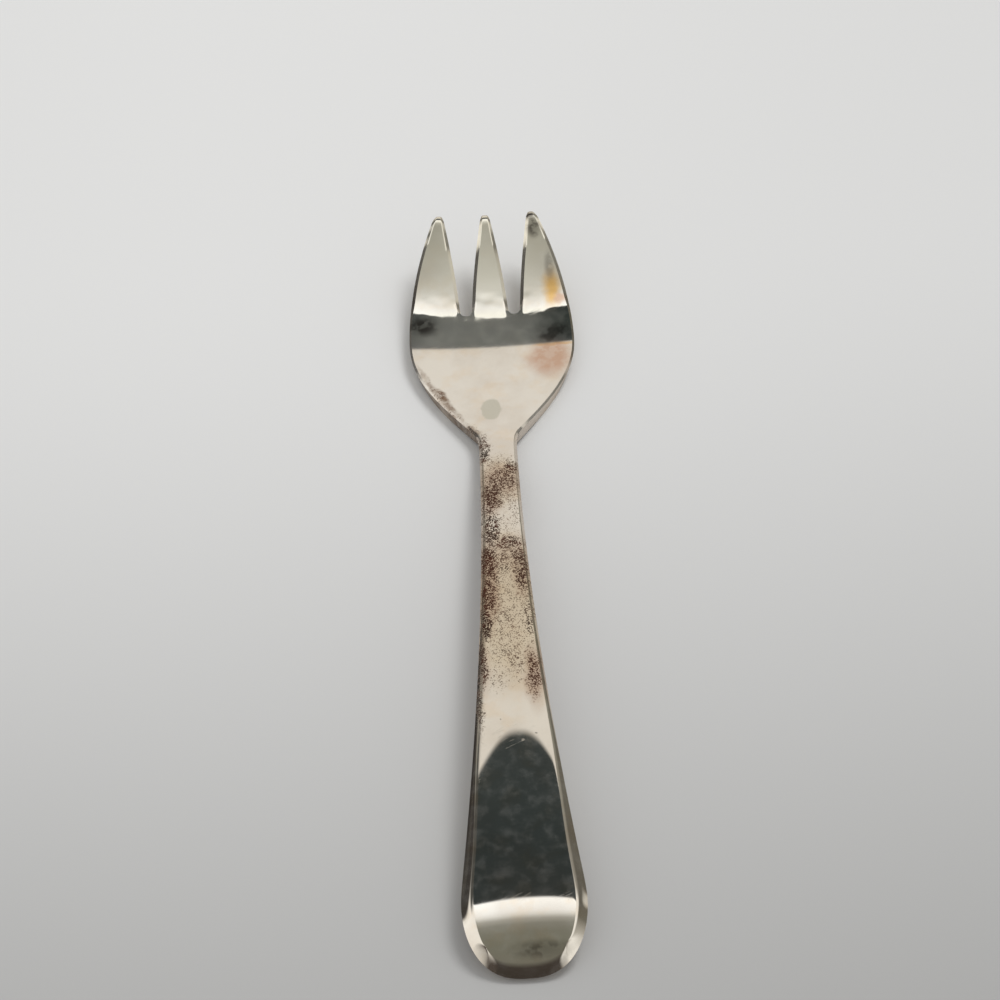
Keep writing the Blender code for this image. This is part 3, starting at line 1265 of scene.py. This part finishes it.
    def tarnish(self, graph: FinishGraph, warped: Socket, smear: Feed) -> tuple[Socket, Socket]:
        """Marks the grains and pits of the tarnish, fainter where they are sparse.

        Args:
            graph: Tree of the material.
            warped: Places with ragged outlines.
            smear: Mask of the smear on the bowl.

        Returns:
            Masks of the tarnish and of the halo round it.
        """
        cover = graph.most(graph.mask(self.tarnished, warped), graph.times(smear, self.smear_cover))
        sizes = {"Grain": self.grain, "Cover": cover, "Halo": self.halo_width}
        grain = graph.group(graph.effects.grain, Place=graph.place, **sizes)
        thick = graph.spread(cover, *self.thin_cover, self.thin_strength, 1.0)
        sizes = {"Spacing": self.pit_spacing, "Size": self.pit_size, "Share": self.pit_share}
        pits = graph.group(graph.effects.pit, Place=graph.place, **sizes)["Mask"]
        pits = graph.times(pits, graph.mask(self.pitted, graph.place))
        dark = graph.most(graph.times(grain["Mask"], thick), graph.times(pits, self.pit_strength))
        return dark, grain["Halo"]

    def relief(self, graph: FinishGraph, dark: Socket) -> Socket:
        """Sinks the tarnish and the scratches a little, and ripples the tines' roots.

        Args:
            graph: Tree of the material.
            dark: Mask of the tarnish.

        Returns:
            The normal.
        """
        first, second = (graph.scratches(scratch) for scratch in self.scratched)
        sunk = graph.times(graph.most(first, second), self.scratch_depth)
        height = graph.minus(graph.times(dark, -1.0), sunk)
        wave = graph.minus(graph.noise(graph.place, self.ripple), 0.5)
        height = graph.plus(height, graph.times(wave, graph.mask(self.rippled, graph.place)))
        sizes = {"Strength": self.relief_strength, "Distance": self.relief_depth, "Height": height}
        return graph.call(graph.node("Bump"), 0, sizes)

    def material(self, effects: Effects, start: float) -> bpy.types.Material:
        """Builds the finish.

        Args:
            effects: Shared groups.
            start: Y of the end of the handle, in metres.

        Returns:
            The finished material.
        """
        made = bpy.data.materials.new("worn_silver")
        made.use_nodes = True
        graph = FinishGraph(made.node_tree, effects, start)
        place = graph.place
        warped, nudged = self.wandered(graph)
        smear = self.smear(graph, warped)
        dark, halo = self.tarnish(graph, warped, smear)
        stained = graph.mask(self.stained, warped)
        spot = graph.mask(self.spotted, nudged)
        blots = graph.cloud(self.blotted)
        uneven = graph.spread(blots, 0.0, 1.0, self.smudge_least, 1.0)
        patchy = graph.spread(blots, 0.0, 1.0, self.rose_least, 1.0)
        near = graph.spread(halo, 0.0, 1.0, self.stain_least, 1.0)
        film: Feed = self.silver
        for share, colour in (
            (graph.cloud(self.clouded), self.halo),
            (graph.cloud(self.mottled), self.gold),
            (graph.mask(self.yellowed, place), self.olive),
            (graph.mask(self.gilded, warped), self.gold),
            (graph.times(graph.mask(self.rosy, warped), patchy), self.rose),
            (spot, self.grey),
            # Real smudges, and painted shade on the rim at the end of the handle.
            (graph.times(graph.mask(self.smudges_and_end_shade, place), uneven), self.soot_and_end_shade),
            (graph.mask(self.tanned, warped), self.tan),
            (graph.times(stained, near), self.stain),
            (graph.times(smear, uneven), self.umber),
            (graph.times(halo, self.halo_share), self.halo),
        ):
            film = graph.blend(share, film, colour)
        tone = graph.spread(graph.noise(place, self.warmth), *self.warm_range)
        warm = graph.most(tone, graph.most(stained, smear))
        veil = graph.plus(graph.mask(self.veiled, place), self.thinnest_veil)
        veil = graph.plus(veil, graph.cloud(self.hazed))
        rough = graph.plus(self.polish, graph.times(veil, self.veil_dullness))
        rough = graph.plus(rough, graph.times(spot, self.spot_dullness))
        rough = graph.plus(rough, graph.times(dark, self.tarnish_dullness))
        bare = graph.times(dark, self.tarnish_bareness)

        shader = graph.node("BsdfPrincipled")
        graph.call(shader, 0, {
            "Base Color": graph.blend(dark, film, graph.blend(warm, self.black, self.brown)),
            "Roughness": rough,
            "Metallic": graph.math("SUBTRACT", graph.minus(1.0, veil), bare, clamp=True),
            "Normal": self.relief(graph, dark),
        })
        graph.surface("OutputMaterial", shader)
        return made


@dataclass(frozen=True)
class PaleTable:
    """The plain pale table top that the fork lies on, with painted shade that darkens it towards the handle
    and on the right, and a darker painted reflection of it in the metal.
    """

    size: float = 6.0
    # Painted shade: the table goes from the far colour to the darker near colour along the fade, and
    # darkens by the side colour on the right, as the light falls off.
    near: Colour = (0.435, 0.433, 0.424, 1.0)
    far: Colour = (0.84, 0.84, 0.83, 1.0)
    shade_fade: tuple[float, float] = (-0.130, 0.072)
    side: Colour = (0.88, 0.88, 0.88, 1.0)
    side_shade_fade: tuple[float, float] = (-0.06, 0.12)
    # Painted reflection: the colour the table shows in the metal, darker than the table, as painted shade
    # of the floor round the fork.
    reflected_shade: Colour = (0.55, 0.50, 0.45, 1.0)
    roughness: float = 0.6
    sheen: float = 0.2

    def build(self) -> bpy.types.Object:
        """Lays the table top.

        Returns:
            The table top.
        """
        bpy.ops.object.select_all(action="DESELECT")
        bpy.ops.mesh.primitive_plane_add(size=self.size)
        table = bpy.context.object
        table.name = "table_top"
        made = bpy.data.materials.new("pale_table")
        made.use_nodes = True
        graph = Graph(made.node_tree)
        place = graph.node("SeparateXYZ")
        graph.call(place, 0, {0: graph.node("TexCoord").outputs["Object"]})
        # Painted shade: darker towards the handle and on the right.
        colour = graph.blend(graph.spread(place.outputs["Y"], *self.shade_fade), self.near, self.far)
        side = graph.spread(place.outputs["X"], *self.side_shade_fade)
        colour = graph.blend(side, colour, graph.blend(1.0, colour, self.side, "MULTIPLY"))
        # Painted reflection: glossy rays see the table in the darker reflected colour.
        glossy = graph.node("LightPath").outputs["Is Glossy Ray"]
        shader = graph.node("BsdfPrincipled")
        graph.feed(shader.inputs["Base Color"], graph.blend(glossy, colour, self.reflected_shade))
        shader.inputs["Roughness"].default_value = self.roughness
        shader.inputs["Specular IOR Level"].default_value = self.sheen
        graph.surface("OutputMaterial", shader)
        table.data.materials.append(made)
        return table


@dataclass(frozen=True)
class Stop:
    """A colour at one angle from the zenith in degrees, positive towards the handle."""

    at: float
    colour: tuple[float, float, float]


Stops = tuple[Stop, ...]


@dataclass(frozen=True)
class SideCard:
    """What the metal shows from one side, by angle, from where it starts to where it is full."""

    start: float
    full: float
    stops: Stops


RIGHT_NEAR_STOPS: Stops = (
    Stop(-10.0, (0.14, 0.13, 0.10)),
    Stop(20.0, (0.45, 0.42, 0.36)),
    Stop(45.0, (0.90, 0.86, 0.78)),
    Stop(62.0, (0.20, 0.17, 0.13)),
    Stop(75.0, (0.06, 0.045, 0.035)),
)


@dataclass(frozen=True)
class StudioLight:
    """Soft light from all round, one large lamp, and the bright and dark cards that the metal shows."""

    ambient: Colour = (0.57, 0.57, 0.57, 1.0)
    overhead: Stops = (
        Stop(-90.0, (0.38, 0.35, 0.31)),
        Stop(-77.0, (0.42, 0.39, 0.34)),
        Stop(-71.0, (0.76, 0.71, 0.64)),
        Stop(-60.0, (0.74, 0.69, 0.61)),
        Stop(-34.9, (0.74, 0.69, 0.61)),
        Stop(-34.5, (0.026, 0.033, 0.031)),
        Stop(-26.0, (0.014, 0.021, 0.020)),
        Stop(-20.4, (0.020, 0.025, 0.023)),
        Stop(-19.9, (1.22, 1.22, 1.18)),
        Stop(-13.0, (1.00, 0.99, 0.95)),
        Stop(-10.0, (0.80, 0.79, 0.74)),
        Stop(-8.0, (0.585, 0.575, 0.525)),
        Stop(-6.0, (0.40, 0.39, 0.345)),
        Stop(-4.0, (0.335, 0.327, 0.28)),
        Stop(-1.5, (0.25, 0.245, 0.205)),
        Stop(6.0, (0.19, 0.185, 0.145)),
        Stop(14.0, (0.17, 0.165, 0.125)),
        Stop(42.0, (0.16, 0.15, 0.115)),
        Stop(56.0, (0.04, 0.03, 0.022)),
        Stop(90.0, (0.025, 0.018, 0.013)),
    )
    sides: tuple[SideCard, ...] = (
        SideCard(-0.36, -0.46, (
            Stop(-70.0, (0.26, 0.24, 0.20)),
            Stop(-50.0, (0.30, 0.28, 0.235)),
            Stop(-46.0, (0.22, 0.21, 0.18)),
            Stop(-42.0, (0.058, 0.056, 0.047)),
            Stop(-27.0, (0.058, 0.056, 0.047)),
            Stop(-20.0, (0.95, 0.92, 0.86)),
            Stop(34.0, (0.90, 0.85, 0.76)),
            Stop(57.0, (0.06, 0.045, 0.034)),
        )),
        SideCard(-0.58, -0.70, (
            Stop(-72.0, (0.025, 0.021, 0.018)),
            Stop(-66.0, (0.055, 0.050, 0.042)),
            Stop(-60.0, (0.030, 0.026, 0.022)),
            Stop(-43.0, (0.035, 0.030, 0.025)),
            Stop(-35.0, (0.85, 0.81, 0.74)),
            Stop(-25.0, (1.00, 0.96, 0.89)),
            Stop(31.0, (0.90, 0.85, 0.76)),
            Stop(55.0, (0.06, 0.045, 0.034)),
        )),
        SideCard(0.34, 0.42, (
            Stop(-76.0, (0.50, 0.46, 0.40)),
            Stop(-70.0, (0.16, 0.15, 0.115)),
            Stop(-52.0, (0.18, 0.17, 0.13)),
            Stop(-44.0, (0.24, 0.225, 0.18)),
            Stop(-31.0, (0.28, 0.26, 0.22)),
            Stop(-24.0, (0.92, 0.88, 0.80)),
            Stop(50.0, (0.90, 0.86, 0.78)),
            Stop(66.0, (0.07, 0.055, 0.042)),
        )),
        SideCard(0.56, 0.70, (
            Stop(-76.0, (0.45, 0.41, 0.36)),
            Stop(-70.0, (0.12, 0.11, 0.085)),
            Stop(-30.0, (0.11, 0.10, 0.08)),
            *RIGHT_NEAR_STOPS,
        )),
        SideCard(0.755, 0.825, (
            Stop(-76.0, (0.10, 0.09, 0.07)),
            Stop(-55.0, (0.10, 0.09, 0.07)),
            Stop(-50.0, (0.60, 0.57, 0.50)),
            Stop(-41.0, (0.60, 0.57, 0.50)),
            Stop(-34.0, (0.13, 0.12, 0.095)),
            *RIGHT_NEAR_STOPS,
        )),
    )
    half_turn: float = 180.0
    skew: float = 42.0
    skew_power: float = 3.0
    lamp_place: tuple[float, float, float] = (0.39, 0.40, 0.82)
    lamp_size: float = 0.38
    lamp_power: float = 3.75

    def ramp(self, graph: Graph, angle: Feed, stops: Stops) -> Socket:
        """Adds a colour ramp over the angles from the table on the far side to the table on the near side.

        Args:
            graph: Tree of the world.
            angle: Angle from the zenith in degrees.
            stops: Colours by angle.

        Returns:
            The colour at the angle.
        """
        made = graph.node("ValToRGB")
        elements = made.color_ramp.elements
        while len(elements) < len(stops):
            elements.new(0.5)
        for element, stop in zip(elements, stops):
            element.position = stop.at / self.half_turn + 0.5
            element.color = (*stop.colour, 1.0)
        return graph.call(made, "Color", {0: graph.plus(graph.over(angle, self.half_turn), 0.5)})

    def cards(self, graph: Graph) -> Socket:
        """Colours the surroundings by direction.

        Args:
            graph: Tree of the world.

        Returns:
            The colour that a reflection sees.
        """
        way = graph.node("SeparateXYZ")
        graph.call(way, 0, {0: graph.node("TexCoord").outputs["Generated"]})
        lean = graph.math("ARCTAN2", graph.times(way.outputs["Y"], -1.0), way.outputs["Z"])
        angle = graph.math("DEGREES", lean)
        left = graph.math("ABSOLUTE", graph.math("MINIMUM", way.outputs["X"], 0.0))
        skewed = graph.times(graph.math("POWER", left, self.skew_power), self.skew)
        colour = self.ramp(graph, graph.plus(angle, skewed), self.overhead)
        for card in self.sides:
            share = graph.spread(way.outputs["X"], card.start, card.full)
            colour = graph.blend(share, colour, self.ramp(graph, angle, card.stops))
        return colour

    def build(self) -> None:
        """Sets the world and hangs the lamp."""
        world = bpy.data.worlds.new("studio")
        bpy.context.scene.world = world
        world.use_nodes = True
        graph = Graph(world.node_tree)
        glossy = graph.node("LightPath").outputs["Is Glossy Ray"]
        back = graph.node("Background")
        graph.feed(back.inputs["Color"], graph.blend(glossy, self.ambient, self.cards(graph)))
        graph.surface("OutputWorld", back)
        bpy.ops.object.light_add(type="AREA", location=self.lamp_place)
        lamp = bpy.context.object
        lamp.name = "soft_lamp"
        lamp.data.size = self.lamp_size
        lamp.data.energy = self.lamp_power
        lamp.rotation_euler = (-Vector(self.lamp_place)).to_track_quat("-Z", "Y").to_euler()
        lamp.visible_glossy = False


@dataclass(frozen=True)
class PictureCamera:
    """The camera where the picture was taken, looking down along the fork."""

    target: tuple[float, float, float] = (-0.14 * MM, 15.67 * MM, 0.0)
    distance: float = 480.0 * MM
    elevation: float = math.radians(46.0)
    roll: float = math.radians(-3.29)
    sensor: float = 36.0
    lens: float = 125.35
    nearest: float = 10.0 * MM

    def build(self) -> bpy.types.Object:
        """Sets up the camera.

        Returns:
            The scene's camera.
        """
        away = Vector((0.0, -math.cos(self.elevation), math.sin(self.elevation)))
        bpy.ops.object.camera_add(location=Vector(self.target) + away * self.distance)
        camera = bpy.context.object
        camera.name = "picture_camera"
        camera.data.sensor_width = self.sensor
        camera.data.lens = self.lens
        camera.data.clip_start = self.nearest
        facing = (-away).to_track_quat("-Z", "Y")
        camera.rotation_euler = (facing @ Euler((0.0, 0.0, self.roll)).to_quaternion()).to_euler()
        bpy.context.scene.camera = camera
        return camera


def main() -> None:
    """Builds the fork, its finish, the table, the light and the camera."""
    logging.basicConfig(level=logging.INFO, format="%(message)s")
    bpy.context.scene.view_settings.view_transform = "Standard"
    camera = PictureCamera().build()
    LOG.info("%s: set", camera.name)
    fork = ForkBody(ForkShape()).build()
    fork.data.materials.append(WornSilver().material(Effects(), CAD_BOX[0].y))
    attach(fork, "root")
    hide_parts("fork")
    LOG.info("%s: %d faces", fork.name, len(fork.data.polygons))
    table = PaleTable().build()
    LOG.info("%s: laid", table.name)
    StudioLight().build()
    LOG.info("studio light: set")


if __name__ == "__main__":
    main()
